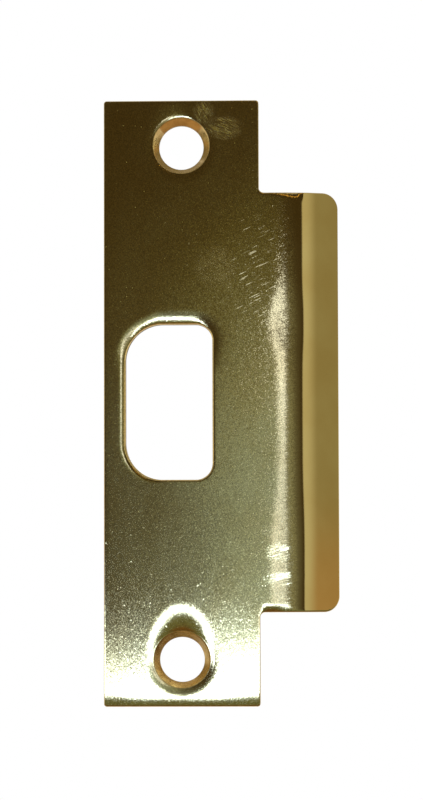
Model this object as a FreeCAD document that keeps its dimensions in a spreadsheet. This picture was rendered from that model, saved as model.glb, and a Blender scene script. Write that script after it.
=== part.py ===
import FreeCAD, Part
import Sketcher
import math
import os

# A door strike plate, stamped and bent from one brass sheet. It stands upright with its length along Z.
# The back lies on the plane Y = 0, the polished face looks toward -Y and the lip reaches toward +X.
# The origin is on the back, midway between the two screw holes. Lengths are in millimetres.

doc = FreeCAD.newDocument("door_strike")

driving_sizes = (
    ("plate_length", "123.825"),
    ("plate_width", "31.75"),
    ("sheet_thickness", "2.38"),
    ("plate_corner_radius", "0.6"),
    ("lip_height", "85.725"),
    ("lip_flat", "5.1"),
    ("lip_bend_radius", "20"),
    ("lip_tilt", "20"),
    ("lip_tail", "4.6"),
    ("lip_corner_radius", "3.3"),
    ("lip_root_radius", "1.0"),
    ("edge_roll", "0.4"),
    ("latch_width", "17.7"),
    ("latch_height", "31.75"),
    ("latch_margin", "4.45"),
    ("latch_far_radius", "7.6"),
    ("latch_near_radius", "3.4"),
    ("latch_rim_roll", "0.8"),
    ("hole_inset", "9.525"),
    ("bore_diameter", "9.1"),
    ("countersink_width", "1.25"),
    ("countersink_angle", "82"),
    ("buffed_width", "3.0"),
    ("buffed_radius", "20"),
    ("hole_rim_roll", "0.2"),
)
sizes = doc.addObject("Spreadsheet::Sheet", "Sizes")
for row, (alias, value) in enumerate(driving_sizes, start=1):
    sizes.set(f"A{row}", alias)
    sizes.set(f"B{row}", value)
    sizes.setAlias(f"B{row}", alias)
doc.recompute()

# Places that follow from the driving sizes, used to draw the sketches and to find edges.
half_length = sizes.plate_length / 2
half_width = sizes.plate_width / 2
half_lip = sizes.lip_height / 2
thickness = sizes.sheet_thickness
front_y = -thickness
hole_z = half_length - sizes.hole_inset

quarter_turn = math.pi / 2
full_turn_degrees = 360
near_zero = 1e-4
facing_front = -0.5

start, end, centre = 1, 2, 3
x_axis = -1
origin_point = (-1, 1)

body = doc.addObject("PartDesign::Body", "strike_plate")
body.Label = "strike_plate"


def origin_plane(role):
    return next(feature for feature in body.Origin.OriginFeatures if feature.Role == role)


def new_sketch(name, role):
    sketch = body.newObject("Sketcher::SketchObject", name)
    sketch.AttachmentSupport = [(origin_plane(role), "")]
    sketch.MapMode = "FlatFace"
    return sketch


def line(sketch, first, second):
    segment = Part.LineSegment(FreeCAD.Vector(*first, 0), FreeCAD.Vector(*second, 0))
    return sketch.addGeometry(segment, False)


def arc(sketch, middle, radius, first_angle, turn):
    circle = Part.Circle(FreeCAD.Vector(*middle, 0), FreeCAD.Vector(0, 0, 1), radius)
    return sketch.addGeometry(Part.ArcOfCircle(circle, first_angle, first_angle + turn), False)


def tie(sketch, kind, *items):
    return sketch.addConstraint(Sketcher.Constraint(kind, *items))


def tie_all(sketch, kind, pieces):
    for piece in pieces:
        tie(sketch, kind, piece)


def tie_loop(sketch, kind, pieces):
    # Joins the end of each piece to the start of the next, all the way round.
    for piece, following in zip(pieces, pieces[1:] + pieces[:1]):
        tie(sketch, kind, piece, end, following, start)


def bind(sketch, name, kind, items, value, formula):
    # A dimension that takes its value from the sheet.
    index = tie(sketch, kind, *items, value)
    sketch.renameConstraint(index, name)
    sketch.setExpression(f"Constraints.{name}", formula)


def finish_cut(feature, volume_before):
    feature.Refine = True
    doc.recompute()
    if body.Shape.Volume > volume_before - near_zero:
        raise RuntimeError(f"{feature.Name} cuts nothing")
    return feature


def cut_through(name, sketch):
    volume = body.Shape.Volume
    pocket = body.newObject("PartDesign::Pocket", name)
    pocket.Profile = sketch
    pocket.Type = "ThroughAll"
    pocket.SideType = "Symmetric"
    return finish_cut(pocket, volume)


def mirror_down(name, feature):
    # The lower half of the plate repeats the upper half.
    volume = body.Shape.Volume
    mirrored = body.newObject("PartDesign::Mirrored", name)
    mirrored.Originals = [feature]
    mirrored.MirrorPlane = (origin_plane("XY_Plane"), [""])
    body.Tip = mirrored
    return finish_cut(mirrored, volume)


def round_edges(name, radius_alias, chosen):
    # Rounds the edges of the solid so far for which chosen(edge) holds.
    base = body.Tip
    names = [f"Edge{i}" for i, edge in enumerate(base.Shape.Edges, start=1) if chosen(edge)]
    if not names:
        raise RuntimeError(f"{name} finds no edges")
    fillet = body.newObject("PartDesign::Fillet", name)
    fillet.Base = (base, names)
    fillet.setExpression("Radius", f"Sizes.{radius_alias}")
    doc.recompute()


def same(first, second):
    return abs(first - second) < near_zero


# The sheet's section, seen from above: a flat, a bend of constant thickness and a straight tail.
tilt = math.radians(sizes.lip_tilt)
bend_x = half_width + sizes.lip_flat
bend_centre = (bend_x, front_y + sizes.lip_bend_radius)
inner_radius = sizes.lip_bend_radius - thickness


def on_bend(radius, along_tail):
    # The point at the bend's end, moved along the straight tail.
    x = bend_centre[0] + radius * math.sin(tilt) + along_tail * math.cos(tilt)
    y = bend_centre[1] - radius * math.cos(tilt) + along_tail * math.sin(tilt)
    return (x, y)


front_bend_end = on_bend(sizes.lip_bend_radius, 0)
front_tip = on_bend(sizes.lip_bend_radius, sizes.lip_tail)
back_bend_end = on_bend(inner_radius, 0)
back_tip = on_bend(inner_radius, sizes.lip_tail)

section = new_sketch("section", "XY_Plane")
front_flat = line(section, (-half_width, front_y), (bend_x, front_y))
front_bend = arc(section, bend_centre, sizes.lip_bend_radius, -quarter_turn, tilt)
front_tail = line(section, front_bend_end, front_tip)
lip_end = line(section, front_tip, back_tip)
back_tail = line(section, back_tip, back_bend_end)
back_bend = arc(section, bend_centre, inner_radius, -quarter_turn, tilt)
back_flat = line(section, (bend_x, 0), (-half_width, 0))
far_end = line(section, (-half_width, 0), (-half_width, front_y))
tie(section, "Tangent", front_flat, end, front_bend, start)
tie(section, "Tangent", front_bend, end, front_tail, start)
tie(section, "Coincident", front_tail, end, lip_end, start)
tie(section, "Coincident", lip_end, end, back_tail, start)
tie(section, "Tangent", back_tail, end, back_bend, end)
tie(section, "Tangent", back_bend, start, back_flat, start)
tie(section, "Coincident", back_flat, end, far_end, start)
tie(section, "Coincident", far_end, end, front_flat, start)
tie(section, "Coincident", front_bend, centre, back_bend, centre)
tie(section, "Horizontal", front_flat)
tie(section, "Vertical", far_end)
tie(section, "Perpendicular", front_tail, lip_end)
tie(section, "Parallel", front_tail, back_tail)
tie(section, "PointOnObject", far_end, start, x_axis)
tie(section, "PointOnObject", back_flat, start, x_axis)
bind(section, "half_width", "DistanceX", (far_end, start, *origin_point), half_width,
     "Sizes.plate_width / 2")
bind(section, "thickness", "DistanceY", (far_end, end, far_end, start), thickness,
     "Sizes.sheet_thickness")
bind(section, "flat", "DistanceX", (*origin_point, back_flat, start), bend_x,
     "Sizes.plate_width / 2 + Sizes.lip_flat")
bind(section, "bend", "Radius", (front_bend,), sizes.lip_bend_radius,
     "Sizes.lip_bend_radius")
bind(section, "tilt", "Angle", (x_axis, start, front_tail, start), tilt,
     "Sizes.lip_tilt * 1 deg")
bind(section, "tail", "Distance", (front_tail,), sizes.lip_tail,
     "Sizes.lip_tail")

sheet = body.newObject("PartDesign::Pad", "sheet")
sheet.Profile = section
sheet.SideType = "Symmetric"
sheet.setExpression("Length", "Sizes.plate_length")
doc.recompute()

# The corner notches that leave the lip shorter than the plate. They run well past the sheet.
notch_width = sizes.lip_flat + sizes.lip_bend_radius + sizes.lip_tail
notch_corners = (
    (half_width, half_lip),
    (half_width + notch_width, half_lip),
    (half_width + notch_width, half_lip + half_length),
    (half_width, half_lip + half_length),
)
notch_outline = new_sketch("notch_outline", "XZ_Plane")
notch_sides = tuple(
    line(notch_outline, corner, following)
    for corner, following in zip(notch_corners, notch_corners[1:] + notch_corners[:1])
)
notch_root, notch_outer, notch_top, notch_inner = notch_sides
tie_loop(notch_outline, "Coincident", notch_sides)
tie_all(notch_outline, "Horizontal", (notch_root, notch_top))
tie_all(notch_outline, "Vertical", (notch_outer, notch_inner))
bind(notch_outline, "plate_edge", "DistanceX", (*origin_point, notch_root, start), half_width,
     "Sizes.plate_width / 2")
bind(notch_outline, "lip_edge", "DistanceY", (*origin_point, notch_root, start), half_lip,
     "Sizes.lip_height / 2")
bind(notch_outline, "past_lip", "DistanceX", (notch_root, start, notch_root, end), notch_width,
     "Sizes.lip_flat + Sizes.lip_bend_radius + Sizes.lip_tail")
bind(notch_outline, "past_plate", "DistanceY", (notch_outer, start, notch_outer, end), half_length,
     "Sizes.plate_length / 2")
notch = cut_through("notch", notch_outline)
mirror_down("notches", notch)


# The outline's corners.
def corner_edge(edge, x_from, x_to, z):
    # An edge through the sheet, between two places along X, at the height z or its mirror image.
    ends = edge.Vertexes
    within = all(x_from - near_zero < vertex.X < x_to + near_zero for vertex in ends)
    return within and same(abs(ends[0].Z), z) and same(ends[0].Z, ends[-1].Z)


def plate_corner(edge):
    far_corner = corner_edge(edge, -half_width, -half_width, half_length)
    return far_corner or corner_edge(edge, half_width, half_width, half_length)


def lip_root(edge):
    return corner_edge(edge, half_width, half_width, half_lip)


def lip_corner(edge):
    return corner_edge(edge, back_tip[0], front_tip[0], half_lip)


round_edges("plate_corners", "plate_corner_radius", plate_corner)
round_edges("lip_roots", "lip_root_radius", lip_root)
round_edges("lip_corners", "lip_corner_radius", lip_corner)


# The polished face's outline, rolled over by the blanking press and the buffing wheel.
def face_normal(face):
    u_first, u_last, v_first, v_last = face.ParameterRange
    return face.normalAt((u_first + u_last) / 2, (v_first + v_last) / 2)


blank = body.Tip.Shape
front_edges = [edge for face in blank.Faces if face_normal(face).y < facing_front for edge in face.Edges]


def front_outline(edge):
    # The two bend lines lie between two front faces, the outline's edges on one only.
    return sum(edge.isSame(other) for other in front_edges) == 1


round_edges("rolled_outline", "edge_roll", front_outline)

# The latch opening: wide corners on the far side, tighter ones toward the lip.
far_x = -half_width + sizes.latch_margin
near_x = far_x + sizes.latch_width
half_latch = sizes.latch_height / 2
far_radius = sizes.latch_far_radius
near_radius = sizes.latch_near_radius
far_arc_x = far_x + far_radius
near_arc_x = near_x - near_radius
far_arc_z = half_latch - far_radius
near_arc_z = half_latch - near_radius

latch_outline = new_sketch("latch_outline", "XZ_Plane")
latch_top = line(latch_outline, (near_arc_x, half_latch), (far_arc_x, half_latch))
far_upper = arc(latch_outline, (far_arc_x, far_arc_z), far_radius, quarter_turn, quarter_turn)
latch_far = line(latch_outline, (far_x, far_arc_z), (far_x, -far_arc_z))
far_lower = arc(latch_outline, (far_arc_x, -far_arc_z), far_radius, 2 * quarter_turn, quarter_turn)
latch_base = line(latch_outline, (far_arc_x, -half_latch), (near_arc_x, -half_latch))
near_lower = arc(latch_outline, (near_arc_x, -near_arc_z), near_radius, 3 * quarter_turn, quarter_turn)
latch_near = line(latch_outline, (near_x, -near_arc_z), (near_x, near_arc_z))
near_upper = arc(latch_outline, (near_arc_x, near_arc_z), near_radius, 0, quarter_turn)
tie_loop(latch_outline, "Tangent", (latch_top, far_upper, latch_far, far_lower,
                                    latch_base, near_lower, latch_near, near_upper))
tie_all(latch_outline, "Horizontal", (latch_top, latch_base))
tie_all(latch_outline, "Vertical", (latch_far, latch_near))
tie(latch_outline, "Equal", far_upper, far_lower)
tie(latch_outline, "Equal", near_upper, near_lower)
bind(latch_outline, "far_corner", "Radius", (far_upper,), far_radius,
     "Sizes.latch_far_radius")
bind(latch_outline, "near_corner", "Radius", (near_upper,), near_radius,
     "Sizes.latch_near_radius")
bind(latch_outline, "far_side", "DistanceX", (latch_far, start, *origin_point), -far_x,
     "Sizes.plate_width / 2 - Sizes.latch_margin")
bind(latch_outline, "width", "DistanceX", (latch_far, start, latch_near, end), sizes.latch_width,
     "Sizes.latch_width")
bind(latch_outline, "upper_side", "DistanceY", (*origin_point, latch_top, start), half_latch,
     "Sizes.latch_height / 2")
bind(latch_outline, "height", "DistanceY", (latch_base, end, latch_top, start), sizes.latch_height,
     "Sizes.latch_height")
cut_through("latch_opening", latch_outline)


def latch_rim(edge):
    middle = edge.valueAt((edge.FirstParameter + edge.LastParameter) / 2)
    in_opening = far_x - near_zero < middle.x < near_x + near_zero and abs(middle.z) < half_latch + near_zero
    return in_opening and all(same(vertex.Y, front_y) for vertex in edge.Vertexes)


round_edges("rolled_latch_rim", "latch_rim_roll", latch_rim)

# A screw hole, turned about its own axis: straight bore, countersink and the face buffed down around it.
bore_radius = sizes.bore_diameter / 2
sink_radius = bore_radius + sizes.countersink_width
sink_depth = sizes.countersink_width / math.tan(math.radians(sizes.countersink_angle) / 2)
buffed_edge = sink_radius + sizes.buffed_width
buffed_turn = math.asin(sizes.buffed_width / sizes.buffed_radius)
sink_y = front_y + sizes.buffed_radius * (1 - math.cos(buffed_turn))
bore_y = sink_y + sink_depth
past_back = thickness

hole_section = new_sketch("hole_section", "YZ_Plane")
hole_axis = line(hole_section, (past_back, hole_z), (front_y, hole_z))
hole_face = line(hole_section, (front_y, hole_z), (front_y, hole_z + buffed_edge))
hole_buff = arc(hole_section, (front_y + sizes.buffed_radius, hole_z + buffed_edge),
                sizes.buffed_radius, 2 * quarter_turn, buffed_turn)
hole_sink = line(hole_section, (sink_y, hole_z + sink_radius), (bore_y, hole_z + bore_radius))
hole_bore = line(hole_section, (bore_y, hole_z + bore_radius), (past_back, hole_z + bore_radius))
hole_back = line(hole_section, (past_back, hole_z + bore_radius), (past_back, hole_z))
tie(hole_section, "Coincident", hole_axis, end, hole_face, start)
tie(hole_section, "Tangent", hole_face, end, hole_buff, start)
tie(hole_section, "Coincident", hole_buff, end, hole_sink, start)
tie(hole_section, "Coincident", hole_sink, end, hole_bore, start)
tie(hole_section, "Coincident", hole_bore, end, hole_back, start)
tie(hole_section, "Coincident", hole_back, end, hole_axis, start)
tie_all(hole_section, "Horizontal", (hole_axis, hole_bore))
tie_all(hole_section, "Vertical", (hole_face, hole_back))
bind(hole_section, "hole_place", "DistanceY", (*origin_point, hole_axis, start), hole_z,
     "Sizes.plate_length / 2 - Sizes.hole_inset")
bind(hole_section, "face_place", "DistanceX", (hole_axis, end, *origin_point), thickness,
     "Sizes.sheet_thickness")
bind(hole_section, "past_back", "DistanceX", (*origin_point, hole_axis, start), past_back,
     "Sizes.sheet_thickness")
bind(hole_section, "bore", "DistanceY", (hole_back, end, hole_back, start), bore_radius,
     "Sizes.bore_diameter / 2")
bind(hole_section, "sink", "DistanceY", (hole_sink, end, hole_sink, start), sizes.countersink_width,
     "Sizes.countersink_width")
bind(hole_section, "sink_depth", "DistanceX", (hole_sink, start, hole_sink, end), sink_depth,
     "Sizes.countersink_width / tan(Sizes.countersink_angle * 1 deg / 2)")
bind(hole_section, "buffed", "DistanceY", (hole_sink, start, hole_face, end), sizes.buffed_width,
     "Sizes.buffed_width")
bind(hole_section, "buff", "Radius", (hole_buff,), sizes.buffed_radius,
     "Sizes.buffed_radius")
doc.recompute()

volume_before_hole = body.Shape.Volume
screw_hole = body.newObject("PartDesign::Groove", "screw_hole")
screw_hole.Profile = hole_section
screw_hole.ReferenceAxis = (hole_section, [f"Edge{hole_axis + 1}"])
screw_hole.Angle = full_turn_degrees
finish_cut(screw_hole, volume_before_hole)
mirror_down("screw_holes", screw_hole)


def hole_rim(edge):
    return isinstance(edge.Curve, Part.Circle) and same(edge.Curve.Radius, sink_radius)


round_edges("softened_hole_rims", "hole_rim_roll", hole_rim)

# Every feature must have built, and the plate must be one sound solid, before its file is written.
for item in doc.Objects:
    if "Invalid" in item.State or "Error" in item.State:
        raise RuntimeError(f"{item.Name} failed: {item.State}")
for sketch in (section, notch_outline, latch_outline, hole_section):
    if not sketch.FullyConstrained:
        raise RuntimeError(f"{sketch.Name} is not fully constrained")
shape = body.Shape
if shape.isNull() or not shape.isValid() or len(shape.Solids) != 1:
    raise RuntimeError("strike_plate is not one sound solid")

os.makedirs("parts", exist_ok=True)
shape.exportStep(f"parts/{body.Label}.step")
print(f"{body.Label}: {shape.Volume:.1f} cubic mm")
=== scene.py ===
import math

import bpy
import numpy as np
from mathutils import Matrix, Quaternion, Vector
from mathutils.geometry import delaunay_2d_cdt


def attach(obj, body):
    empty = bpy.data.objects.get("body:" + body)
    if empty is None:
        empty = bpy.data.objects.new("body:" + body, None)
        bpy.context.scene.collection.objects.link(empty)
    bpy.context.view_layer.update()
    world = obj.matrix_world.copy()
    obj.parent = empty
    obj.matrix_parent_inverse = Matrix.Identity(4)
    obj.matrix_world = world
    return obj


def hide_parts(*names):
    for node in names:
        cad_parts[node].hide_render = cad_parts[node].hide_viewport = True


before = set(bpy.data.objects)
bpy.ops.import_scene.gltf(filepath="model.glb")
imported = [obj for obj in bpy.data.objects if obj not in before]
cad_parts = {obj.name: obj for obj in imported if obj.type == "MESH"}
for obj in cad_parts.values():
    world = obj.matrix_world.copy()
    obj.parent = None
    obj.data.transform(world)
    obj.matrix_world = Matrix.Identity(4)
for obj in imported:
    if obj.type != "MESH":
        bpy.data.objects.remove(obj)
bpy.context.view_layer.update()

scene = bpy.context.scene
scene.view_settings.view_transform = "Standard"
mm = 0.001

# The strike plate

plate = {  # millimetres and degrees; u runs across the flat sheet toward the lip, v runs up it
    "length": 123.825, "width": 31.75, "thickness": 2.38, "cornerRadius": 0.6, "rollRadius": 0.15,
    "lipHeight": 85.725, "lipFlat": 5.1, "bendRadius": 20.0, "lipTilt": 20.0, "lipTail": 4.585,
    "lipCornerRadius": 3.3, "lipRootRadius": 1.0,
    "latchWidth": 17.7, "latchHeight": 31.75, "latchMargin": 4.45,
    "latchFarRadius": 7.6, "latchNearRadius": 3.4, "latchRollRadius": 0.28,
    "holeInset": 9.525, "boreRadius": 4.55, "sinkWidth": 1.25, "sinkAngle": 82.0, "sinkRim": 0.15,
    "sinkDrift": (0.0, 0.3), "buffWidth": 1.0, "buffRadius": 25.0,
    # edges buffed over: widths, then slopes at the rim, and the spans of u in which they change
    "sideEase": (0.9, 1.2), "footEase": (2.1, 2.9, 3.7), "footCornerFrom": 6.0, "tabBlend": 1.5,
    "tabFootEase": (1.9, 0.6, 9.0, 4.5), "tabFootWidthSpan": (19.5, 26.0), "tabFootSlopeSpan": (18.5, 21.5),
    "tabTopEase": (0.4, 2.2, 8.0), "tabTopWidthSpan": (18.0, 25.0), "tabTopEnd": (23.6, 25.0),
    # latch rims: width and depth; its shoulder: start, start at the corner, blend, slope, growth of the slope
    "latchRim": (0.5, 0.07), "latchFarRim": (1.6, 0.24), "latchFarSpan": (-9.0, -3.0),
    "latchShoulder": (3.1, 2.4, 1.5, 6.3, 2.8), "latchTopFrom": (5.0, 14.0), "latchTopEnd": (1.0, 10.0),
    "latchCornerSpan": (-7.5, -3.5), "latchCornerExtra": 0.3, "latchTopRimLess": 0.7,
    "dishHalfWidth": 7.7, "dishRise": 12.0, "dishFall": 7.6, "dishDepths": (1.4, 0.67), "dishFloor": 0.42,
    "rimDip": (0.6, 11.5, 112.0), "rimDipFade": (0.1, 0.85),  # width, slope, the way it lies; share faced
    "leadIn": (18.3, 21.6, 27.0), "leadInSlope": 2.2,  # u of its start, its steepest place and its end
    "leadInTop": (1.9, 16.3, 5.5), "leadInFoot": (1.6, 12.0, 32.0),  # how much sooner, and where
    # dents: u, v, length, width, turn, depth; waves: depth, radians per millimetre of u and of v, phase
    "dings": [(21.0, -30.4, 1.5, 0.6, 20, 0.014), (21.8, -35.8, 2.2, 0.5, 12, 0.014),
              (19.8, -36.6, 1.3, 0.4, 18, 0.01), (19.2, -27.2, 0.8, 0.5, 50, 0.01)],
    "waves": [(0.004, 0.21, 0.13, 0.6), (0.0028, 0.33, -0.19, 2.1), (0.0024, 0.09, 0.31, 4.0)],
    # points of the mesh
    "step": 0.33, "backStep": 1.1, "frontClear": 0.45, "backClear": 0.4, "boreSteps": 112, "sharpAngle": 32.0,
}
buffedSlot, turnedSlot, millSlot, shearedSlot = range(4)


def roundedLoop(corners, radii, step):
    # straight runs joined by quarter arcs, each arc point being centre - r (b cos f + a sin f) with a and b
    # the ways from the corner to its neighbours; gives the points and the way out, right of travel
    fewestSteps, closer = 6, 2.4  # arcs have their points closer together than straight runs
    corners = np.array(corners, float)
    count = len(corners)
    points, travel = [], []
    for i in range(count):
        here, after, r = corners[i], corners[(i + 1) % count], radii[i]
        a = (corners[i - 1] - here) / np.linalg.norm(corners[i - 1] - here)
        b = (after - here) / np.linalg.norm(after - here)
        arcSteps = max(fewestSteps, math.ceil(closer * r / step))
        f = np.linspace(0, math.pi / 2, arcSteps + 1)[:, None]
        points.append(here + r * (a + b) - r * (b * np.cos(f) + a * np.sin(f)))
        travel.append(b * np.sin(f) - a * np.cos(f))
        start, stop = here + r * b, after - radii[(i + 1) % count] * b
        s = np.linspace(0, 1, math.ceil(np.linalg.norm(stop - start) / step) + 1)[1:-1, None]
        points.append(start + (stop - start) * s)
        travel.append(np.broadcast_to(b, (len(s), 2)))
    travel = np.concatenate(travel)
    return np.concatenate(points), np.stack([travel[:, 1], -travel[:, 0]], 1)


def turnedLoop(centre, radius, count):
    # a circle walked clockwise, so that the way out of the metal points at its centre
    f = -np.linspace(0, 2 * math.pi, count, endpoint=False)
    ray = np.stack([np.cos(f), np.sin(f)], 1)
    return np.array(centre) + radius * ray, -ray


def rollProfile(radius, thickness):
    # a quarter circle from the face to the wall, then straight down the wall to the back
    rollSteps, wallSteps = 8, 4
    f = np.linspace(0, math.pi / 2, rollSteps + 1)
    inset = np.concatenate([radius * (1 - np.sin(f)), np.zeros(wallSteps)])
    down = np.concatenate([radius * (1 - np.cos(f)), np.linspace(radius, thickness, wallSteps + 1)[1:]])
    return inset, down, np.array([buffedSlot] * rollSteps + [shearedSlot] * wallSteps)


def sinkProfile(thickness):
    # from the face: the buffed arc, the rounded rim, the cone down to the bore, and the bore to the back
    arcSteps, rimSteps, coneSteps, boreSteps = 8, 5, 5, 4
    rimPoint = 2  # the step of the rounded rim that lies on the countersink's edge
    bore = plate["boreRadius"]
    rim = bore + plate["sinkWidth"]
    half = math.radians(plate["sinkAngle"] / 2)
    f = np.linspace(0, math.asin(plate["buffWidth"] / plate["buffRadius"]), arcSteps + 1)
    radius = rim + plate["buffWidth"] - plate["buffRadius"] * np.sin(f)
    down = plate["buffRadius"] * (1 - np.cos(f))
    g = np.linspace(f[-1], math.pi / 2 - half, rimSteps + 1)  # slope of the rim, from the arc to the cone
    rimRadius = rim + plate["sinkRim"] * (math.sin(g[rimPoint]) - np.sin(g))
    rimDown = down[-1] + plate["sinkRim"] * (math.cos(g[rimPoint]) - np.cos(g))
    radius = np.concatenate([radius[:-1], rimRadius])
    down = np.concatenate([down[:-1], rimDown])
    coneEnd = down[-1] + (radius[-1] - bore) / math.tan(half)
    s = np.linspace(0, 1, coneSteps + 1)[1:]
    boreDown = np.linspace(coneEnd, thickness, boreSteps + 1)[1:]
    radius = np.concatenate([radius, radius[-1] + (bore - radius[-1]) * s, np.full(boreSteps, bore)])
    down = np.concatenate([down, down[-1] + (coneEnd - down[-1]) * s, boreDown])
    buffedRows = arcSteps + rimPoint
    finish = np.array([buffedSlot] * buffedRows + [turnedSlot] * (len(radius) - 1 - buffedRows))
    return radius - bore, down, finish


def roundBoxDistance(u, v, low, high, radius):
    # how far a point lies outside a box with round corners, below nought inside it
    qu = np.abs(u - (low[0] + high[0]) / 2) - (high[0] - low[0]) / 2 + radius
    qv = np.abs(v - (low[1] + high[1]) / 2) - (high[1] - low[1]) / 2 + radius
    return np.minimum(np.maximum(qu, qv), 0) + np.hypot(np.maximum(qu, 0), np.maximum(qv, 0)) - radius


def outlineDistance(u, v):
    # the plate and its tab as one outline: two round boxes joined by a fillet at the tab's roots
    body = roundBoxDistance(u, v, (-halfWidth, -halfLength), (halfWidth, halfLength), plate["cornerRadius"])
    tab = roundBoxDistance(u, v, (0, -halfLip), (lipEnd, halfLip), plate["lipCornerRadius"])
    r = plate["lipRootRadius"]
    return np.maximum(r, np.minimum(body, tab)) - np.hypot(np.maximum(r - body, 0), np.maximum(r - tab, 0))


def latchDistance(u, v):
    # how far a point lies outside the latch opening, whose corners are larger on the far side
    onFarSide = u < (latchLow[0] + latchHigh[0]) / 2
    radius = np.where(onFarSide, plate["latchFarRadius"], plate["latchNearRadius"])
    return roundBoxDistance(u, v, latchLow, latchHigh, radius)


def eased(distance, width, power):
    # one at a rim, falling to nought over the width
    return np.clip(1 - distance / width, 0, 1) ** power


def smooth(value, low, high):
    # nought at low, one at high, and the cubic 3tt - 2ttt between them
    t = np.clip((value - low) / (high - low), 0, 1)
    return t * t * (3 - 2 * t)


def between(a, b, share):
    # a at a share of nought, b at a share of one
    return a + (b - a) * share


def slopeOf(degrees):
    # the rise per millimetre, the angle's tangent
    return math.tan(math.radians(degrees))


def roundedOff(distance, width, slope):
    # an edge buffed over: a parabola that starts flat at the width and reaches the slope at the rim
    return slope * np.clip(width - distance, 0, None) ** 2 / (2 * width)


def shoulder(distance, width, blend, slope, growth):
    # a parabola over the blend that runs on as a slope, which grows a little toward the rim
    past = np.clip(width - distance, 0, None)
    steady = np.clip(past - blend, 0, None)
    run = np.where(past < blend, past ** 2 / (2 * blend), past - blend / 2)
    return slope * run + growth * steady ** 2 / 2


def edgeRelief(u, v):
    # the outline buffed over by parabolas: little along the sides, more along the foot and the tab's two ends
    onTab = smooth(u, halfWidth, halfWidth + plate["tabBlend"])
    width, slope = plate["sideEase"]
    relief = roundedOff(np.clip(-outlineDistance(u, v), 0, None), width, slopeOf(slope))
    widthInside, widthAtCorners, slope = plate["footEase"]
    width = between(widthInside, widthAtCorners, smooth(np.abs(u), plate["footCornerFrom"], halfWidth))
    relief = relief + roundedOff(v + halfLength, width, slopeOf(slope))
    widthAtRoot, widthAtLip, slopeAtRoot, slopeAtLip = plate["tabFootEase"]
    width = between(widthAtRoot, widthAtLip, smooth(u, *plate["tabFootWidthSpan"]))
    slope = between(slopeOf(slopeAtRoot), slopeOf(slopeAtLip), smooth(u, *plate["tabFootSlopeSpan"]))
    relief = relief + onTab * roundedOff(v + halfLip, width, slope)
    widthAtRoot, widthAtLip, slope = plate["tabTopEase"]
    width = between(widthAtRoot, widthAtLip, smooth(u, *plate["tabTopWidthSpan"]))
    onTabTop = onTab * (1 - smooth(u, *plate["tabTopEnd"]))
    return relief + onTabTop * roundedOff(halfLip - v, width, slopeOf(slope))


def latchRelief(u, v):
    # a cubic roll at the latch opening's rim, wider on its far side, and a long shoulder along its top
    away = latchDistance(u, v)
    top = smooth(v, *plate["latchTopFrom"]) * (1 - smooth(u, *plate["latchTopEnd"]))
    corner = 1 - smooth(u, *plate["latchCornerSpan"])
    far = (1 - smooth(u, *plate["latchFarSpan"])) * (1 - top)
    width, depth = (between(a, b, far) for a, b in zip(plate["latchRim"], plate["latchFarRim"]))
    start, cornerStart, blend, slope, growth = plate["latchShoulder"]
    start = between(start, cornerStart, corner)
    steepness = top * (1 + plate["latchCornerExtra"] * corner)
    rim = depth * (1 - plate["latchTopRimLess"] * top) * eased(away, width, 3)
    return rim + steepness * shoulder(away, start, blend, slopeOf(slope), slopeOf(growth))


def dishRelief(u, v):
    # an egg-shaped paraboloid pressed round each screw hole, two half ovals that reach further up than down
    relief = 0
    for centre, depth in zip(holeCentres, plate["dishDepths"]):
        reach = np.where(v > centre[1], plate["dishRise"], plate["dishFall"])
        rho = np.hypot(u / plate["dishHalfWidth"], (v - centre[1]) / reach)
        relief = relief + depth * np.minimum(eased(rho, 1, 2), plate["dishFloor"])
    return relief


def rimDipRelief(u, v):
    # one side of the upper countersink's rim buffed away: a parabola that fades round the ring
    width, slope, way = plate["rimDip"]
    x, z = u - sinkCentres[1][0], v - sinkCentres[1][1]
    distance = np.hypot(x, z)
    way = math.radians(way)
    facing = (x * math.cos(way) + z * math.sin(way)) / np.maximum(distance, 1)
    away = np.maximum(distance - plate["boreRadius"] - plate["sinkWidth"], 0)
    return smooth(facing, *plate["rimDipFade"]) * roundedOff(away, width, slopeOf(slope))


def leadInRelief(u, v):
    # a slope that swells and dies away again, summed along u: the face leans over gently before the bend
    # proper, sooner by a Gaussian of v near the lip's top and by a smooth step toward its foot
    first, full, last = plate["leadIn"]
    before, after, count = 1, 4, 400  # how far the table of u goes past both ends, and its points
    table = np.linspace(first - before, last + after, count)
    slope = slopeOf(plate["leadInSlope"]) * smooth(table, first, full) * (1 - smooth(table, full, last))
    drop = np.concatenate([[0], np.cumsum((slope[1:] + slope[:-1]) / 2 * np.diff(table))])
    topAmount, topPlace, topReach = plate["leadInTop"]
    footAmount, footFrom, footTo = plate["leadInFoot"]
    sooner = topAmount * np.exp(-((v - topPlace) / topReach) ** 2) + footAmount * smooth(-v, footFrom, footTo)
    return np.interp(u + sooner, table, drop)


def dingRelief(u, v):
    # shallow oval dents, each a Gaussian along and across its own turned axes
    relief = 0
    for du, dv, long, short, turn, depth in plate["dings"]:
        c, q = math.cos(math.radians(turn)), math.sin(math.radians(turn))
        along, across = (u - du) * c + (v - dv) * q, (v - dv) * c - (u - du) * q
        relief = relief + depth * np.exp(-(along / long) ** 2 - (across / short) ** 2)
    return relief


def waveRelief(u, v):
    # a faint waviness, the sum of crossed sines raised so that none falls below nought
    return sum(depth * (1 + np.sin(alongU * u + alongV * v + phase))
               for depth, alongU, alongV, phase in plate["waves"])


def faceRelief(u, v):
    # how deep the press and the buff went into the face, the sum of all the forms above
    forms = (edgeRelief, latchRelief, dishRelief, leadInRelief, rimDipRelief, dingRelief, waveRelief)
    return sum(form(u, v) for form in forms)


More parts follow.
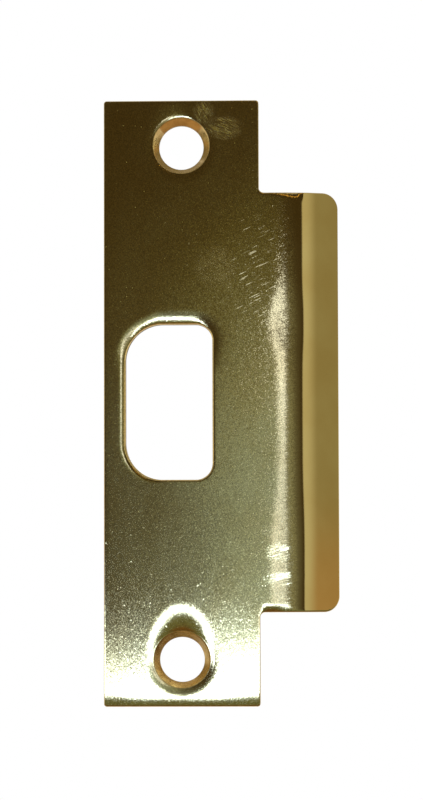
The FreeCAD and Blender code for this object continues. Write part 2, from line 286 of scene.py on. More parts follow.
def bentSheet(flat):
    # the flat pattern (u, v, depth) wrapped round the lip's bend: straight, then an arc of the bend radius on
    # the front face, then straight again along the tilted tail
    u, v, w = flat.T
    radius, lipTilt = plate["bendRadius"], math.radians(plate["lipTilt"])
    turn = np.clip((u - bendStart) / radius, 0, lipTilt)
    past = np.clip(u - bendStart - radius * lipTilt, 0, None)
    x = np.minimum(u, bendStart) + (radius - w) * np.sin(turn) + past * math.cos(lipTilt)
    y = -thick + radius - (radius - w) * np.cos(turn) + past * math.sin(lipTilt)
    return np.stack([x, y, v], 1) * mm


def fillFlat(uv, rims):
    # every point joined to its nearest neighbours in flat triangles, the rims held as edges; a triangle
    # between rim points alone is metal where a level line from its middle meets an odd number of rim edges
    rimEdges = np.concatenate([np.stack([rim, np.roll(rim, -1)], 1) for rim in rims])
    uv = uv.astype(np.float32).astype(float)
    tooClose = 1e-7
    found = delaunay_2d_cdt(list(map(Vector, uv.tolist())), rimEdges.tolist(), [], 0, tooClose, True)
    order = np.array([ids[0] for ids in found[3]])
    triangles = order[np.array(found[2])]
    onRims = (triangles < len(rimEdges)).all(1)
    u, v = np.moveaxis(uv[triangles[onRims]].mean(1)[:, :, None], 1, 0)
    (startU, startV), (stopU, stopV) = uv[rimEdges[:, 0]].T, uv[rimEdges[:, 1]].T
    spans = (startV > v) != (stopV > v)
    rise = np.where(startV == stopV, 1, stopV - startV)
    meets = spans & (u < startU + (v - startV) / rise * (stopU - startU))
    isMetal = np.ones(len(triangles), bool)
    isMetal[onRims] = meets.sum(1) % 2 == 1
    return triangles[isMetal]


def inSheet(uv, outlineInset, latchInset, centres, holeRadius):
    # the points that lie in the metal, clear of each rim by the given width
    u, v = uv.T
    holes = np.minimum(*(np.hypot(u - c[0], v - c[1]) for c in centres)) - holeRadius
    return uv[(outlineDistance(u, v) < -outlineInset) & (latchDistance(u, v) > latchInset) & (holes > 0)]


def sheetGrid(step):
    # a plain grid over the flat pattern, with lines along both ends of the bend
    spans = [(-halfWidth, bendStart), (bendStart, bendEnd), (bendEnd, lipEnd)]
    u = np.unique(np.concatenate([np.linspace(a, b, math.ceil((b - a) / step) + 1) for a, b in spans]))
    v = np.linspace(-halfLength, halfLength, math.ceil(2 * halfLength / step) + 1)
    return np.stack(np.meshgrid(u, v), -1).reshape(-1, 2)


def rimPlaces(rims):
    # where each rim stands in a list of all the rims' points
    ends = np.cumsum([0] + [len(r) for r in rims])
    return [np.arange(a, b) for a, b in zip(ends[:-1], ends[1:])]


halfWidth, halfLength, halfLip = plate["width"] / 2, plate["length"] / 2, plate["lipHeight"] / 2
thick = plate["thickness"]
bendStart = halfWidth + plate["lipFlat"]
bendEnd = bendStart + plate["bendRadius"] * math.radians(plate["lipTilt"])
lipEnd = bendEnd + plate["lipTail"]
latchLow = np.array([-halfWidth + plate["latchMargin"], -plate["latchHeight"] / 2])
latchHigh = latchLow + [plate["latchWidth"], plate["latchHeight"]]
holeCentres = [(0.0, s * (halfLength - plate["holeInset"])) for s in (-1, 1)]
sinkCentres = [(x, z + drift) for (x, z), drift in zip(holeCentres, plate["sinkDrift"])]

cornerR, rootR, lipR = plate["cornerRadius"], plate["lipRootRadius"], plate["lipCornerRadius"]
farR, nearR = plate["latchFarRadius"], plate["latchNearRadius"]
outlineLoop = roundedLoop(
    [(-halfWidth, -halfLength), (halfWidth, -halfLength), (halfWidth, -halfLip), (lipEnd, -halfLip),
     (lipEnd, halfLip), (halfWidth, halfLip), (halfWidth, halfLength), (-halfWidth, halfLength)],
    [cornerR, cornerR, rootR, lipR, lipR, rootR, cornerR, cornerR], plate["step"])
latchLoop = roundedLoop(
    [latchLow, (latchLow[0], latchHigh[1]), latchHigh, (latchHigh[0], latchLow[1])],
    [farR, farR, nearR, nearR], plate["step"])
loops = [(outlineLoop, rollProfile(plate["rollRadius"], thick), 0.0),
         (latchLoop, rollProfile(plate["latchRollRadius"], thick), 0.0)]
loops += [(turnedLoop(centre, plate["boreRadius"], plate["boreSteps"]), sinkProfile(thick), drift)
          for centre, drift in zip(holeCentres, plate["sinkDrift"])]

flatParts, quads, finishes, frontRims, backRims = [], [], [], [], []
pointCount = 0
for (path, outward), (inset, down, finish), drift in loops:
    rows, around = len(inset), len(path)
    uv = path[None] - inset[:, None, None] * outward[None]
    uv[..., 1] += drift * np.clip(inset / plate["sinkWidth"], 0, 1)[:, None]
    depths = np.broadcast_to(down[:, None, None], (rows, around, 1))
    flatParts.append(np.concatenate([uv, depths], 2).reshape(-1, 3))
    index = pointCount + np.arange(rows * around).reshape(rows, around)
    ahead = np.roll(index, -1, 1)
    quads.append(np.stack([index[:-1], index[1:], ahead[1:], ahead[:-1]], -1).reshape(-1, 4))
    finishes.append(np.repeat(finish, around))
    frontRims.append(index[0])
    backRims.append(index[-1])
    pointCount += rows * around

clear = plate["frontClear"] * plate["step"]
sinkReach = plate["boreRadius"] + plate["sinkWidth"] + plate["buffWidth"]
frontGrid = inSheet(sheetGrid(plate["step"]), plate["rollRadius"] + clear, plate["latchRollRadius"] + clear,
                    sinkCentres, sinkReach + clear)
clear = plate["backClear"]
backGrid = inSheet(sheetGrid(plate["backStep"]), clear, clear, holeCentres, plate["boreRadius"] + clear)
flatParts.append(np.concatenate([frontGrid, np.zeros((len(frontGrid), 1))], 1))
flatParts.append(np.concatenate([backGrid, np.full((len(backGrid), 1), thick)], 1))
flat = np.concatenate(flatParts)

frontIds = np.concatenate(frontRims + [pointCount + np.arange(len(frontGrid))])
backIds = np.concatenate(backRims + [pointCount + len(frontGrid) + np.arange(len(backGrid))])
frontFaces = frontIds[fillFlat(flat[frontIds, :2], rimPlaces(frontRims))]
backFaces = backIds[fillFlat(flat[backIds, :2], rimPlaces(backRims))][:, ::-1]
finishes += [np.full(len(frontFaces), buffedSlot), np.full(len(backFaces), millSlot)]
finishes = np.concatenate(finishes).astype(np.int32)

sheetDepth = flat[:, 2] / thick
flat[:, 2] += faceRelief(flat[:, 0], flat[:, 1]) * np.clip(1 - sheetDepth, 0, 1)
vertices = bentSheet(flat)
mesh = bpy.data.meshes.new("brass_plate")
faces = np.concatenate(quads).tolist() + frontFaces.tolist() + backFaces.tolist()
mesh.from_pydata(vertices.tolist(), [], faces)
mesh.polygons.foreach_set("material_index", finishes)
mesh.polygons.foreach_set("use_smooth", np.ones(len(finishes), bool))
mesh.attributes.new("sheetDepth", "FLOAT", "POINT").data.foreach_set("value", sheetDepth.astype(np.float32))
mesh.set_sharp_from_angle(angle=math.radians(plate["sharpAngle"]))
mesh.update()
brassPlate = bpy.data.objects.new("brass_plate", mesh)
scene.collection.objects.link(brassPlate)
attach(brassPlate, "root")
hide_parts("strike_plate")
print("plate:", len(vertices), "points,", len(finishes), "faces")

# Nodes for the finishes and the stage


def addNode(tree, kind, inputs=None, **settings):
    node = tree.nodes.new(kind)
    for key, value in settings.items():
        setattr(node, key, value)
    for key, value in (inputs or {}).items():
        if isinstance(value, bpy.types.NodeSocket):
            tree.links.new(value, node.inputs[key])
        else:
            node.inputs[key].default_value = value
    return node


def newFinish(name):
    material = bpy.data.materials.new(name)
    material.use_nodes = True
    material.node_tree.nodes.clear()
    return material, material.node_tree


def calc(tree, operation, a, b=0.0, c=0.0):
    return addNode(tree, "ShaderNodeMath", {0: a, 1: b, 2: c}, operation=operation).outputs[0]


def vectorCalc(tree, operation, inputs):
    return addNode(tree, "ShaderNodeVectorMath", inputs, operation=operation).outputs[0]


def product(tree, *values):
    total = values[0]
    for value in values[1:]:
        total = calc(tree, "MULTIPLY", total, value)
    return total


def ramp(tree, value, low, high, bottom=0.0, top=1.0, kind="SMOOTHSTEP"):
    # value carried from low..high to bottom..top, eased at both ends unless it is linear
    inputs = {"Value": value, "From Min": low, "From Max": high, "To Min": bottom, "To Max": top}
    return addNode(tree, "ShaderNodeMapRange", inputs, interpolation_type=kind).outputs[0]


def mixColours(tree, share, a, b):
    return addNode(tree, "ShaderNodeMix", {0: share, 6: a, 7: b}, data_type="RGBA").outputs[2]


def splitAxes(tree, place):
    return addNode(tree, "ShaderNodeSeparateXYZ", {0: place}).outputs


def inMetres(tree):
    return addNode(tree, "ShaderNodeTexCoord").outputs["Object"]


def inMillimetres(tree):
    return vectorCalc(tree, "SCALE", {0: inMetres(tree), "Scale": 1 / mm})


def spread(tree, place, sizeX, sizeZ, turn=0.0, shift=0.0):
    # the plate's millimetres drawn out to sizeX by sizeZ, turned in its own plane and shifted
    inputs = {"Vector": place, "Location": (shift, 0.0, shift * 0.7),
              "Rotation": (0.0, math.radians(turn), 0.0), "Scale": (sizeX, max(sizeX, sizeZ), sizeZ)}
    return addNode(tree, "ShaderNodeMapping", inputs, vector_type="TEXTURE").outputs[0]


def grain(tree, place, sizeX, sizeZ, turn=0.0, detail=2.0, rough=0.5, shift=0.0):
    # noise drawn out to sizeX by sizeZ millimetres
    inputs = {"Vector": spread(tree, place, sizeX, sizeZ, turn, shift), "Scale": 1.0,
              "Detail": detail, "Roughness": rough}
    return addNode(tree, "ShaderNodeTexNoise", inputs).outputs["Fac"]


def cells(tree, place, sizeX, sizeZ, turn=0.0, shift=0.0):
    # small cells: how near a place is to its cell's middle, and three chance numbers for each cell
    inputs = {"Vector": spread(tree, place, sizeX, sizeZ, turn, shift), "Scale": 1.0}
    node = addNode(tree, "ShaderNodeTexVoronoi", inputs)
    lot = addNode(tree, "ShaderNodeSeparateColor", {0: node.outputs["Color"]}).outputs
    return node.outputs["Distance"], lot


def patch(tree, axes, middle, half):
    # one in the middle of an oval, easing to nought at its edge
    across = calc(tree, "DIVIDE", calc(tree, "SUBTRACT", axes[0], middle[0]), half[0])
    up = calc(tree, "DIVIDE", calc(tree, "SUBTRACT", axes[2], middle[1]), half[1])
    return ramp(tree, calc(tree, "MULTIPLY_ADD", across, across, calc(tree, "MULTIPLY", up, up)), 1.0, 0.1)


def chance(tree, number, size):
    # a chance number from 0..1 carried by its cube to -size..size, so that most come out small
    middle = calc(tree, "SUBTRACT", number, 0.5)
    return product(tree, middle, middle, middle, 8.0 * size)


def leaned(tree, normal, across, up):
    # the normal leaned sideways and upward by two small numbers
    way = addNode(tree, "ShaderNodeCombineXYZ", {0: across, 1: 0.0, 2: up}).outputs[0]
    return vectorCalc(tree, "NORMALIZE", {0: vectorCalc(tree, "ADD", {0: normal, 1: way})})


def bump(tree, height, depth):
    return addNode(tree, "ShaderNodeBump", {"Height": height, "Distance": depth, "Strength": 1.0}).outputs[0]


def setMetal(tree, colour, rough, normal, metallic=1.0):
    inputs = {"Base Color": colour, "Metallic": metallic, "Roughness": rough, "Normal": normal}
    shader = addNode(tree, "ShaderNodeBsdfPrincipled", inputs)
    addNode(tree, "ShaderNodeOutputMaterial", {"Surface": shader.outputs[0]})


# The buffed face

polish = {  # sizes and places in millimetres, turns in degrees
    "brass": (0.80, 0.635, 0.31, 1), "warmBrass": (0.74, 0.56, 0.25, 1), "toneSize": (9.0, 14.0),
    "toneSpan": (0.35, 0.7),  # a span is of noise, chance or distance from a cell's middle
    "roughness": 0.075, "lipFrom": (22.3, 24.6), "lipCleaner": 0.96, "lipSmoother": 0.035,
    "peelSize": 1.2, "peelHeight": 4e-6,
    "facetSize": 0.14, "facetLean": 0.023, "facetTone": 0.5, "facetFade": (-48, -22, 0.5, 1.0),
    "sparkSize": 0.15, "sparkShare": 0.99, "sparkLean": 0.07,
    "combSize": (2.2, 0.2), "combTurn": -14.0, "combLean": 0.07, "combFrom": (19.0, 21.5),
    "dashSize": (4.0, 0.21), "dashTurn": -26.0, "dashLean": 0.038, "dashPatch": ((14.8, 26.0), (7.0, 17.0)),
    "dashSpan": (0.12, 0.32, 1.0, 0.0), "dashChance": (0.1, 1.0, 0.0, 1.1),
    # middle, half size, stroke, turn, least noise that marks, lean sideways and upward
    "scuffs": [((19.4, -30.6), (3.4, 2.8), (2.4, 0.2), -18.0, 0.38, (0.0, -0.034)),
               ((20.2, -36.0), (4.6, 2.0), (2.8, 0.2), -14.0, 0.38, (0.0, -0.028)),
               ((17.0, -26.0), (1.3, 2.0), (0.4, 0.25), -55.0, 0.5, (0.02, -0.036)),
               ((23.0, -32.6), (1.0, 2.8), (0.4, 0.25), -60.0, 0.5, (-0.02, -0.03)),
               ((12.9, 0.6), (2.0, 5.4), (0.4, 0.25), -50.0, 0.56, (0.032, 0.0))], "scuffBlend": 0.2,
    # middle, half size, turn of the strokes, strength
    "smears": [((8.7, 56.2), (4.6, 2.9), 24.0, 1.5), ((4.6, 59.4), (2.6, 2.9), 62.0, 1.5),
               ((7.0, 27.6), (5.0, 5.4), 30.0, 0.8)], "smearStroke": (2.6, 0.22), "smearSpan": (0.36, 0.8),
    "film": (0.60, 0.47, 0.10, 1), "filmDulls": 0.3, "filmRoughens": 0.25,
    "dotSpacing": 0.6, "dotShare": 0.94, "dotHaze": 2.0, "dotFade": (-46, -30),
    "dotSpan": (0.06, 0.2, 1.0, 0.0),
}

buffed, tree = newFinish("buffed_brass")
place = inMillimetres(tree)
axes = splitAxes(tree, place)
tone = ramp(tree, grain(tree, place, *polish["toneSize"], detail=3.0), *polish["toneSpan"])
colour = mixColours(tree, tone, polish["brass"], polish["warmBrass"])
onLip = ramp(tree, axes[0], *polish["lipFrom"])  # past its bend the lip is polished smooth
grained = calc(tree, "SUBTRACT", 1.0, calc(tree, "MULTIPLY", onLip, polish["lipCleaner"]))
peel = grain(tree, place, polish["peelSize"], polish["peelSize"])
normal = bump(tree, calc(tree, "MULTIPLY", peel, grained), polish["peelHeight"])

# tiny flats left by the grit, each with its own lean and tone, and a few that lean far
_, lot = cells(tree, place, polish["facetSize"], polish["facetSize"], shift=31.0)
toneSpread = product(tree, grained, polish["facetTone"])
facetTone = calc(tree, "MULTIPLY_ADD", calc(tree, "SUBTRACT", lot[2], 0.5), toneSpread, 1.0)
colour = vectorCalc(tree, "SCALE", {0: colour, "Scale": facetTone})
worn = product(tree, ramp(tree, axes[2], *polish["facetFade"]), grained)
across = product(tree, chance(tree, lot[0], polish["facetLean"]), worn)
up = product(tree, chance(tree, lot[1], polish["facetLean"]), worn)
_, lot = cells(tree, place, polish["sparkSize"], polish["sparkSize"], shift=57.0)
isSpark = calc(tree, "GREATER_THAN", lot[0], polish["sparkShare"])
spark = product(tree, isSpark, grained, polish["sparkLean"])
across = calc(tree, "MULTIPLY_ADD", calc(tree, "SUBTRACT", lot[1], 0.5), spark, across)
up = calc(tree, "MULTIPLY_ADD", calc(tree, "SUBTRACT", lot[2], 0.5), spark, up)

# belt marks across the bend, short slanting scratches above them, and scuffs
comb = grain(tree, place, *polish["combSize"], polish["combTurn"], detail=1.0, shift=7.0)
onBend = product(tree, ramp(tree, axes[0], *polish["combFrom"]), grained, polish["combLean"])
across = calc(tree, "MULTIPLY_ADD", calc(tree, "SUBTRACT", comb, 0.5), onBend, across)
near, lot = cells(tree, place, *polish["dashSize"], polish["dashTurn"], shift=3.0)
dash = product(tree, ramp(tree, near, *polish["dashSpan"]), ramp(tree, lot[0], *polish["dashChance"]),
               patch(tree, axes, *polish["dashPatch"]), polish["dashLean"])
across = calc(tree, "ADD", across, dash)
up = calc(tree, "SUBTRACT", up, dash)
for middle, half, stroke, turn, least, lean in polish["scuffs"]:
    strokes = grain(tree, place, *stroke, turn, detail=3.0, rough=0.7, shift=middle[1])
    strokes = ramp(tree, strokes, least, least + polish["scuffBlend"])
    scuff = calc(tree, "MULTIPLY", patch(tree, axes, middle, half), strokes)
    across = calc(tree, "MULTIPLY_ADD", scuff, lean[0], across)
    up = calc(tree, "MULTIPLY_ADD", scuff, lean[1], up)
normal = leaned(tree, normal, across, up)

# a dull film in brushed smears and single dots
near, lot = cells(tree, place, polish["dotSpacing"], polish["dotSpacing"], shift=83.0)
haze = product(tree, ramp(tree, near, *polish["dotSpan"]), ramp(tree, lot[0], polish["dotShare"], 1.0),
               grained, ramp(tree, axes[2], *polish["dotFade"]), polish["dotHaze"])
for middle, half, turn, strength in polish["smears"]:
    strokes = grain(tree, place, *polish["smearStroke"], turn, detail=3.0, rough=0.7, shift=middle[0])
    strokes = ramp(tree, strokes, *polish["smearSpan"])
    smear = product(tree, patch(tree, axes, middle, half), strokes, strength)
    haze = calc(tree, "MAXIMUM", haze, smear)
rough = calc(tree, "MULTIPLY_ADD", onLip, -polish["lipSmoother"], polish["roughness"])
rough = calc(tree, "MULTIPLY_ADD", haze, polish["filmRoughens"], rough)
metallic = calc(tree, "MULTIPLY_ADD", haze, -polish["filmDulls"], 1.0)
setMetal(tree, mixColours(tree, haze, colour, polish["film"]), rough, normal, metallic)

# The turned countersinks and bores

turning = {"pale": (0.64, 0.47, 0.22, 1), "deep": (0.56, 0.39, 0.17, 1), "chatterSize": 1.6,
           "chatterHeight": 6e-6, "toneSpan": (0.35, 0.7), "roughness": (0.3, 0.7, 0.12, 0.2)}

turned, tree = newFinish("turned_brass")
place = inMillimetres(tree)
chatter = grain(tree, place, turning["chatterSize"], turning["chatterSize"], detail=3.0)
colour = mixColours(tree, ramp(tree, chatter, *turning["toneSpan"]), turning["pale"], turning["deep"])
rough = ramp(tree, chatter, *turning["roughness"])
setMetal(tree, colour, rough, bump(tree, chatter, turning["chatterHeight"]))

# The back, as it came from the mill

mill = {"brass": (0.74, 0.57, 0.28, 1), "tarnish": (0.46, 0.3, 0.115, 1), "rollSize": (0.16, 18.0),
        "rollSpan": (0.3, 0.7), "rollDulls": 0.35, "roughness": (0.24, 0.2),
        "stainSize": (13.0, 17.0), "stainSpan": (0.44, 0.72), "stainDulls": 0.6,
        "scratchSize": (7.0, 0.5), "scratchTurns": (17.0, -52.0, 74.0), "scratchShare": 0.72,
        "scratchSpan": (0.05, 0.22, 1.0, 0.0), "scratchDepth": 1.2, "reliefHeight": 5e-6}

milled, tree = newFinish("mill_brass")
place = inMillimetres(tree)
rolled = grain(tree, place, *mill["rollSize"], detail=3.0)
stain = ramp(tree, grain(tree, place, *mill["stainSize"], detail=5.0, rough=0.6), *mill["stainSpan"])
scratch = 0.0
for turn in mill["scratchTurns"]:
    near, lot = cells(tree, place, *mill["scratchSize"], turn, shift=turn)
    isScratch = calc(tree, "GREATER_THAN", lot[0], mill["scratchShare"])
    line = product(tree, ramp(tree, near, *mill["scratchSpan"]), isScratch)
    scratch = calc(tree, "MAXIMUM", scratch, line)
dull = calc(tree, "MULTIPLY_ADD", ramp(tree, rolled, *mill["rollSpan"]), mill["rollDulls"],
            calc(tree, "MULTIPLY", stain, mill["stainDulls"]))
colour = mixColours(tree, dull, mill["brass"], mill["tarnish"])
leastRough, dullRough = mill["roughness"]
rough = calc(tree, "MULTIPLY_ADD", dull, dullRough, leastRough)
scored = calc(tree, "MULTIPLY_ADD", scratch, -mill["scratchDepth"], rolled)
setMetal(tree, colour, rough, bump(tree, scored, mill["reliefHeight"]))

# The sheared walls, smooth near the face and torn toward the back. Their colours are darker than the brass.
# Part of that is the torn band's own dullness, and part is painted shade that darkens the walls and the rims
# of the openings.

# the smooth and torn wall colours are darkened as painted shade
shears = {"smooth": (0.42, 0.29, 0.12, 1), "torn": (0.24, 0.15, 0.06, 1), "bandEnd": (0.34, 0.5),
          "raggedSize": 0.9, "ragged": 0.3, "pitSize": 0.22, "pitHeight": 4e-5, "roughness": (0.24, 0.5)}

shearedWithPaintedShade, tree = newFinish("sheared_brass_painted_shade")
place = inMillimetres(tree)
depth = addNode(tree, "ShaderNodeAttribute", attribute_name="sheetDepth").outputs["Fac"]
edgeNoise = grain(tree, place, shears["raggedSize"], shears["raggedSize"], detail=3.0)
raggedDepth = calc(tree, "MULTIPLY_ADD", edgeNoise, shears["ragged"], depth)
torn = ramp(tree, calc(tree, "SUBTRACT", raggedDepth, shears["ragged"] / 2), *shears["bandEnd"])
pits = grain(tree, place, shears["pitSize"], shears["pitSize"], detail=3.0, rough=0.7)
setMetal(tree, mixColours(tree, torn, shears["smooth"], shears["torn"]),
         ramp(tree, torn, 0, 1, *shears["roughness"]),
         bump(tree, product(tree, pits, torn), shears["pitHeight"]))

for finish in (buffed, turned, milled, shearedWithPaintedShade):
    mesh.materials.append(finish)
print("finishes:", [m.name for m in mesh.materials])

# Camera

view = {"at": (24.0, -600.0, -36.0), "aim": (6.1, -2.38, 0.35), "lean": 0.15,  # millimetres and degrees
        "pixelsPerMm": 4.905, "imageHeight": 800.0, "sensor": 36.0, "clip": (0.01, 20.0)}

camera = bpy.data.objects.new("camera", bpy.data.cameras.new("camera"))
scene.collection.objects.link(camera)
scene.camera = camera
sight = Vector(view["aim"]) - Vector(view["at"])
level = sight.to_track_quat("-Z", "Y")
camera.location = Vector(view["at"]) * mm
camera.rotation_euler = (level @ Quaternion((0, 0, 1), -math.radians(view["lean"]))).to_euler()
camera.data.sensor_width = view["sensor"]
camera.data.lens = view["pixelsPerMm"] * sight.length * view["sensor"] / view["imageHeight"]
camera.data.clip_start, camera.data.clip_end = view["clip"]

# Stage: a white floor, a graded card that the face mirrors, and soft pale cards round the plate

stage = {  # metres
    "floorZ": -0.45, "floorHalf": 4.0, "paper": (0.85, 0.85, 0.85, 1), "paperShown": 0.92,
    "left": -0.75, "right": 0.85, "top": 0.8, "cardY": -0.62, "pale": (0.62, 0.6, 0.52, 1),
    "backHalf": 0.7, "backY": 0.75, "backTop": 0.6, "backSpan": (-0.05, 0.35),
    "backDim": (0.44, 0.4, 0.32, 1), "backPale": (0.95, 0.95, 0.92, 1),
    "lowHalf": 0.4, "lowFrom": -0.34, "lowTo": -0.003, "lowZ": -0.2, "lowWarmSpan": (-0.16, -0.06),
    "lowPaleSpan": (-0.26, -0.33), "lowDark": (0.1, 0.08, 0.045, 1), "lowWarm": (0.62, 0.4, 0.19, 1),
    "wallEnd": 0.4, "ceilingEnd": 0.1, "backCeiling": (0.165, 0.5), "wallSpan": (-0.05, 0.15),
    "wallFoot": (0.9, 0.85, 0.7, 1), "wall": (0.28, 0.24, 0.13, 1),
}
left, right, top = stage["left"], stage["right"], stage["top"]
floorZ, cardY = stage["floorZ"], stage["cardY"]


def flatCard(name, corners, material):
    card = bpy.data.objects.new(name, bpy.data.meshes.new(name))
    card.data.from_pydata(corners, [], [(0, 1, 2, 3)])
    card.data.materials.append(material)
    scene.collection.objects.link(card)
    return card


def setGlow(tree, colour):
    glow = addNode(tree, "ShaderNodeEmission", {"Color": colour, "Strength": 1.0})
    addNode(tree, "ShaderNodeOutputMaterial", {"Surface": glow.outputs[0]})


paper, tree = newFinish("white_paper")
rays = addNode(tree, "ShaderNodeLightPath").outputs
shown = calc(tree, "MAXIMUM", calc(tree, "MAXIMUM", rays["Is Camera Ray"], rays["Is Glossy Ray"]),
             rays["Is Transmission Ray"])
matte = addNode(tree, "ShaderNodeBsdfDiffuse", {"Color": stage["paper"]})
white = addNode(tree, "ShaderNodeEmission", {"Color": (1, 1, 1, 1), "Strength": 1.0})
mixed = addNode(tree, "ShaderNodeMixShader", {0: calc(tree, "MULTIPLY", shown, stage["paperShown"]),
                                              1: matte.outputs[0], 2: white.outputs[0]})
addNode(tree, "ShaderNodeOutputMaterial", {"Surface": mixed.outputs[0]})
wide = stage["floorHalf"]
corners = [(-wide, -wide, floorZ), (wide, -wide, floorZ), (wide, wide, floorZ), (-wide, wide, floorZ)]
flatCard("floor", corners, paper)

# The graded card, in the plate's own millimetres: each place of it is what that place of a flat mirror shows

reflector = {  # colours; heights of its lights at places across and up; spans in which they change
    "dark": (0.056, 0.041, 0.0155, 1), "under": (0.15, 0.17, 0.09, 1), "deep": (0.15, 0.085, 0.028, 1),
    "underSpan": (-66, -78), "deepSpan": (-95, -125),
    "tan": (0.325, 0.296, 0.165, 1), "paleTan": (0.57, 0.55, 0.38, 1), "lowTan": (0.44, 0.31, 0.15, 1),
    "tanFrom": (150, 160), "paleTanSpan": (165, 290), "lowTanSpan": (-10, -45),
    "glow": (0.70, 1.0, 1.06, 1), "warmGlow": (0.88, 1.0, 0.48, 1), "glowSpan": (32, -22),
    "glowStrength": 0.36,
    "glowAcross": [(-40, 0.02), (-20, 0.08), (-14, 0.17), (-9, 0.24), (-2, 0.34), (5, 0.5), (9, 0.86),
                   (13, 0.96), (18, 0.97), (26, 0.9), (40, 0.5), (64, 0.2), (118, 0.04), (150, 0.0)],
    "glowUp": [(-80, 0.0), (-64, 1.2), (-46, 1.2), (-36, 1.07), (-28, 1.0), (-20, 0.96), (-5, 0.9),
               (9, 0.6), (21, 0.34), (29, 0.25), (37, 0.12), (60, 0.0)],
    "streak": (0.85, 1.0, 1.4), "streakStrength": 1.3,
    "streakAcross": [(22, 0.0), (26, 0.2), (30, 0.62), (35, 1.0), (41, 0.95), (48, 0.5), (57, 0.2),
                     (67, 0.06), (80, 0.0)],
    "streakUp": [(-66, 0.0), (-54, 0.35), (-47, 0.8), (-42, 0.6), (-36, 0.75), (-28, 0.75), (-20, 0.65),
                 (-5, 0.8), (9, 1.15), (16, 1.15), (20, 0.8), (22, 0.25), (25, 0.0)],
    "afterglow": (0.88, 1.0, 0.72), "afterglowStrength": 0.17,
    "afterglowAcross": [(44, 0.0), (66, 0.8), (88, 1.0), (110, 0.5), (135, 0.22), (150, 0.0)],
    "afterglowUp": [(-84, 0.0), (-70, 1.0), (-5, 1.0), (9, 0.7), (21, 0.32), (35, 0.05), (45, 0.0)],
    "white": (3.1, 4.3, 7.0), "whiteSpan": (-51, -55.5), "dawn": (0.74, 1.0, 1.4), "dawnSpan": (-43, -53.5),
    "dawnStrength": 0.85, "slants": ((16.0, -0.08), (0.0, -0.13)), "leftStep": (-32, -27, -14.0, 0.0),
    "lowFoot": (-76, -63), "lowRight": (24, 42, 1, 0), "lowLeft": (-75, -55),
    "lamp": ((54.0, -54.0), (21.0, 12.0)), "lampStrength": 0.75,
    "paleSpans": ((-150, -230), (116, 180), (-90, -190)),  # below, above and to the left
    "glint": (0.9, 0.54, 0.12), "glintUp": ((88, 92), (98, 102, 1, 0)),
    "glintAcross": ((18, 26), (120, 140, 1, 0)),
}


def curve(tree, value, stops):
    # a smooth line through (place, height) stops
    low, high, peak = stops[0][0], stops[-1][0], max(h for _, h in stops)
    node = addNode(tree, "ShaderNodeValToRGB", {0: ramp(tree, value, low, high, kind="LINEAR")})
    node.color_ramp.interpolation = "CARDINAL"
    points = node.color_ramp.elements
    while len(points) < len(stops):
        points.new(0.5)
    for point, (spot, _) in zip(points, stops):
        point.position = (spot - low) / (high - low)
    for point, (_, height) in zip(points, stops):
        point.color = (height / peak,) * 3 + (1,)
    return calc(tree, "MULTIPLY", node.outputs[0], peak)


def addLight(tree, colour, share, total):
    wide = addNode(tree, "ShaderNodeCombineXYZ", {0: share, 1: share, 2: share}).outputs[0]
    return vectorCalc(tree, "MULTIPLY_ADD", {0: colour, 1: wide, 2: total})


def gradedLight(tree, name):
    # one of the card's lights: a curve across times a curve up
    return product(tree, curve(tree, px, reflector[name + "Across"]), curve(tree, pz, reflector[name + "Up"]))


cloth, tree = newFinish("reflector_cloth")
reach = cardY / (view["at"][1] * mm)
inputs = {"Vector": inMetres(tree), "Scale": (1 / mm / (1 + reach),) * 3,
          "Location": [c * reach / (1 + reach) for c in view["at"]]}
axes = splitAxes(tree, addNode(tree, "ShaderNodeMapping", inputs).outputs[0])
px, pz = axes[0], axes[2]
glow, streak, afterglow = (gradedLight(tree, name) for name in ("glow", "streak", "afterglow"))
slant = calc(tree, "ADD", pz, ramp(tree, px, *reflector["leftStep"]))
for most, coefficient in reflector["slants"]:
    slant = calc(tree, "MULTIPLY_ADD", calc(tree, "MINIMUM", px, most), coefficient, slant)
lowLight = product(tree, ramp(tree, pz, *reflector["lowFoot"]), ramp(tree, px, *reflector["lowRight"]),
                   ramp(tree, px, *reflector["lowLeft"]))
whiteShare = product(tree, ramp(tree, slant, *reflector["whiteSpan"]), lowLight)
dawn = product(tree, ramp(tree, slant, *reflector["dawnSpan"]), lowLight)
lamp = calc(tree, "MULTIPLY", patch(tree, axes, *reflector["lamp"]), reflector["lampStrength"])
whiteShare = calc(tree, "MAXIMUM", whiteShare, lamp)

lowTan = mixColours(tree, ramp(tree, pz, *reflector["lowTanSpan"]), reflector["tan"], reflector["lowTan"])
tanTone = mixColours(tree, ramp(tree, px, *reflector["paleTanSpan"]), reflector["paleTan"], lowTan)
total = mixColours(tree, ramp(tree, px, *reflector["tanFrom"]), reflector["dark"], tanTone)
below = mixColours(tree, ramp(tree, pz, *reflector["deepSpan"]), reflector["under"], reflector["deep"])
total = mixColours(tree, ramp(tree, pz, *reflector["underSpan"]), total, below)
glowTone = mixColours(tree, ramp(tree, pz, *reflector["glowSpan"]), reflector["warmGlow"], reflector["glow"])
for colour, share, strength in ((glowTone, glow, "glowStrength"), (reflector["dawn"], dawn, "dawnStrength"),
                                (reflector["streak"], streak, "streakStrength"),
                                (reflector["afterglow"], afterglow, "afterglowStrength")):
    total = addLight(tree, colour, calc(tree, "MULTIPLY", share, reflector[strength]), total)
total = addLight(tree, reflector["white"], whiteShare, total)
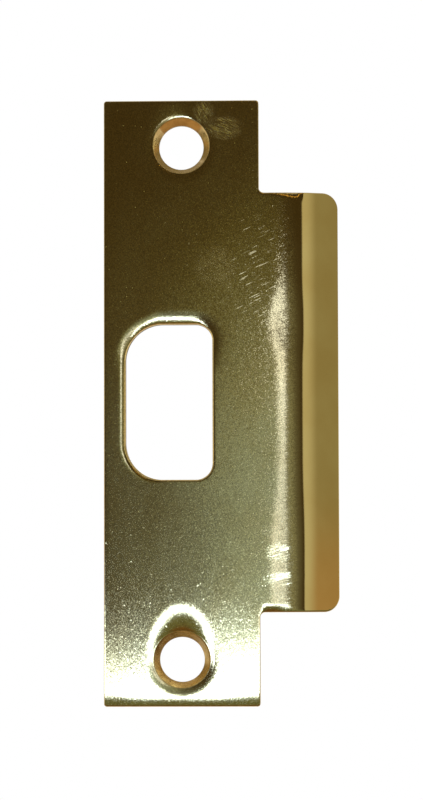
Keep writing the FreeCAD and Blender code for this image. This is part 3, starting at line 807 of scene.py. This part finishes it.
# past what the camera's own view takes in, the card is pale, for the other sides
paleBelow, paleAbove, paleLeft = reflector["paleSpans"]
edge = calc(tree, "MAXIMUM", ramp(tree, pz, *paleBelow), ramp(tree, pz, *paleAbove))
edge = calc(tree, "MAXIMUM", edge, ramp(tree, px, *paleLeft))
total = mixColours(tree, edge, total, stage["pale"])
glint = product(tree, *(ramp(tree, pz, *span) for span in reflector["glintUp"]),
                *(ramp(tree, px, *span) for span in reflector["glintAcross"]))
setGlow(tree, addLight(tree, reflector["glint"], glint, total))
corners = [(left, cardY, floorZ), (left, cardY, top), (right, cardY, top), (right, cardY, floorZ)]
flatCard("reflector", corners, cloth).visible_camera = False

# a card behind the plate, for its back
dusk, tree = newFinish("shade_cloth")
height = splitAxes(tree, inMetres(tree))[2]
setGlow(tree, mixColours(tree, ramp(tree, height, *stage["backSpan"]), stage["backDim"], stage["backPale"]))
half, backY, backTop = stage["backHalf"], stage["backY"], stage["backTop"]
corners = [(-half, backY, floorZ), (half, backY, floorZ), (half, backY, backTop), (-half, backY, backTop)]
flatCard("back_shade", corners, dusk).visible_camera = False

# a low card in front of the plate's foot, for the steep rims that look straight down
felt, tree = newFinish("felt")
nearness = splitAxes(tree, inMetres(tree))[1]
tone = mixColours(tree, ramp(tree, nearness, *stage["lowWarmSpan"]), stage["lowDark"], stage["lowWarm"])
setGlow(tree, mixColours(tree, ramp(tree, nearness, *stage["lowPaleSpan"]), tone, stage["pale"]))
half, lowFrom, lowTo, lowZ = stage["lowHalf"], stage["lowFrom"], stage["lowTo"], stage["lowZ"]
corners = [(-half, lowFrom, lowZ), (half, lowFrom, lowZ), (half, lowTo, lowZ), (-half, lowTo, lowZ)]
lowShade = flatCard("low_shade", corners, felt)
lowShade.visible_camera = lowShade.visible_diffuse = lowShade.visible_shadow = False

# dim walls and ceilings at the sides and above
dim, tree = newFinish("dim_wall")
height = splitAxes(tree, inMetres(tree))[2]
setGlow(tree, mixColours(tree, ramp(tree, height, *stage["wallSpan"]), stage["wallFoot"], stage["wall"]))
end, ceilingEnd = stage["wallEnd"], stage["ceilingEnd"]
gapEnd, backEnd = stage["backCeiling"]
dimWalls = {
    "left_wall": [(left, cardY, floorZ), (left, end, floorZ), (left, end, top), (left, cardY, top)],
    "right_wall": [(right, cardY, floorZ), (right, cardY, top), (right, end, top), (right, end, floorZ)],
    "ceiling": [(left, cardY, top), (left, ceilingEnd, top), (right, ceilingEnd, top), (right, cardY, top)],
    "back_ceiling": [(left, gapEnd, top), (left, backEnd, top), (right, backEnd, top), (right, gapEnd, top)],
}
for name, corners in dimWalls.items():
    flatCard(name, corners, dim).visible_camera = False

world = bpy.data.worlds.new("studio")
scene.world = world
world.use_nodes = True
tree = world.node_tree
tree.nodes.clear()
air = addNode(tree, "ShaderNodeBackground", {"Color": (1, 1, 1, 1), "Strength": 1.0})
addNode(tree, "ShaderNodeOutputWorld", {"Surface": air.outputs[0]})
print("stage set")
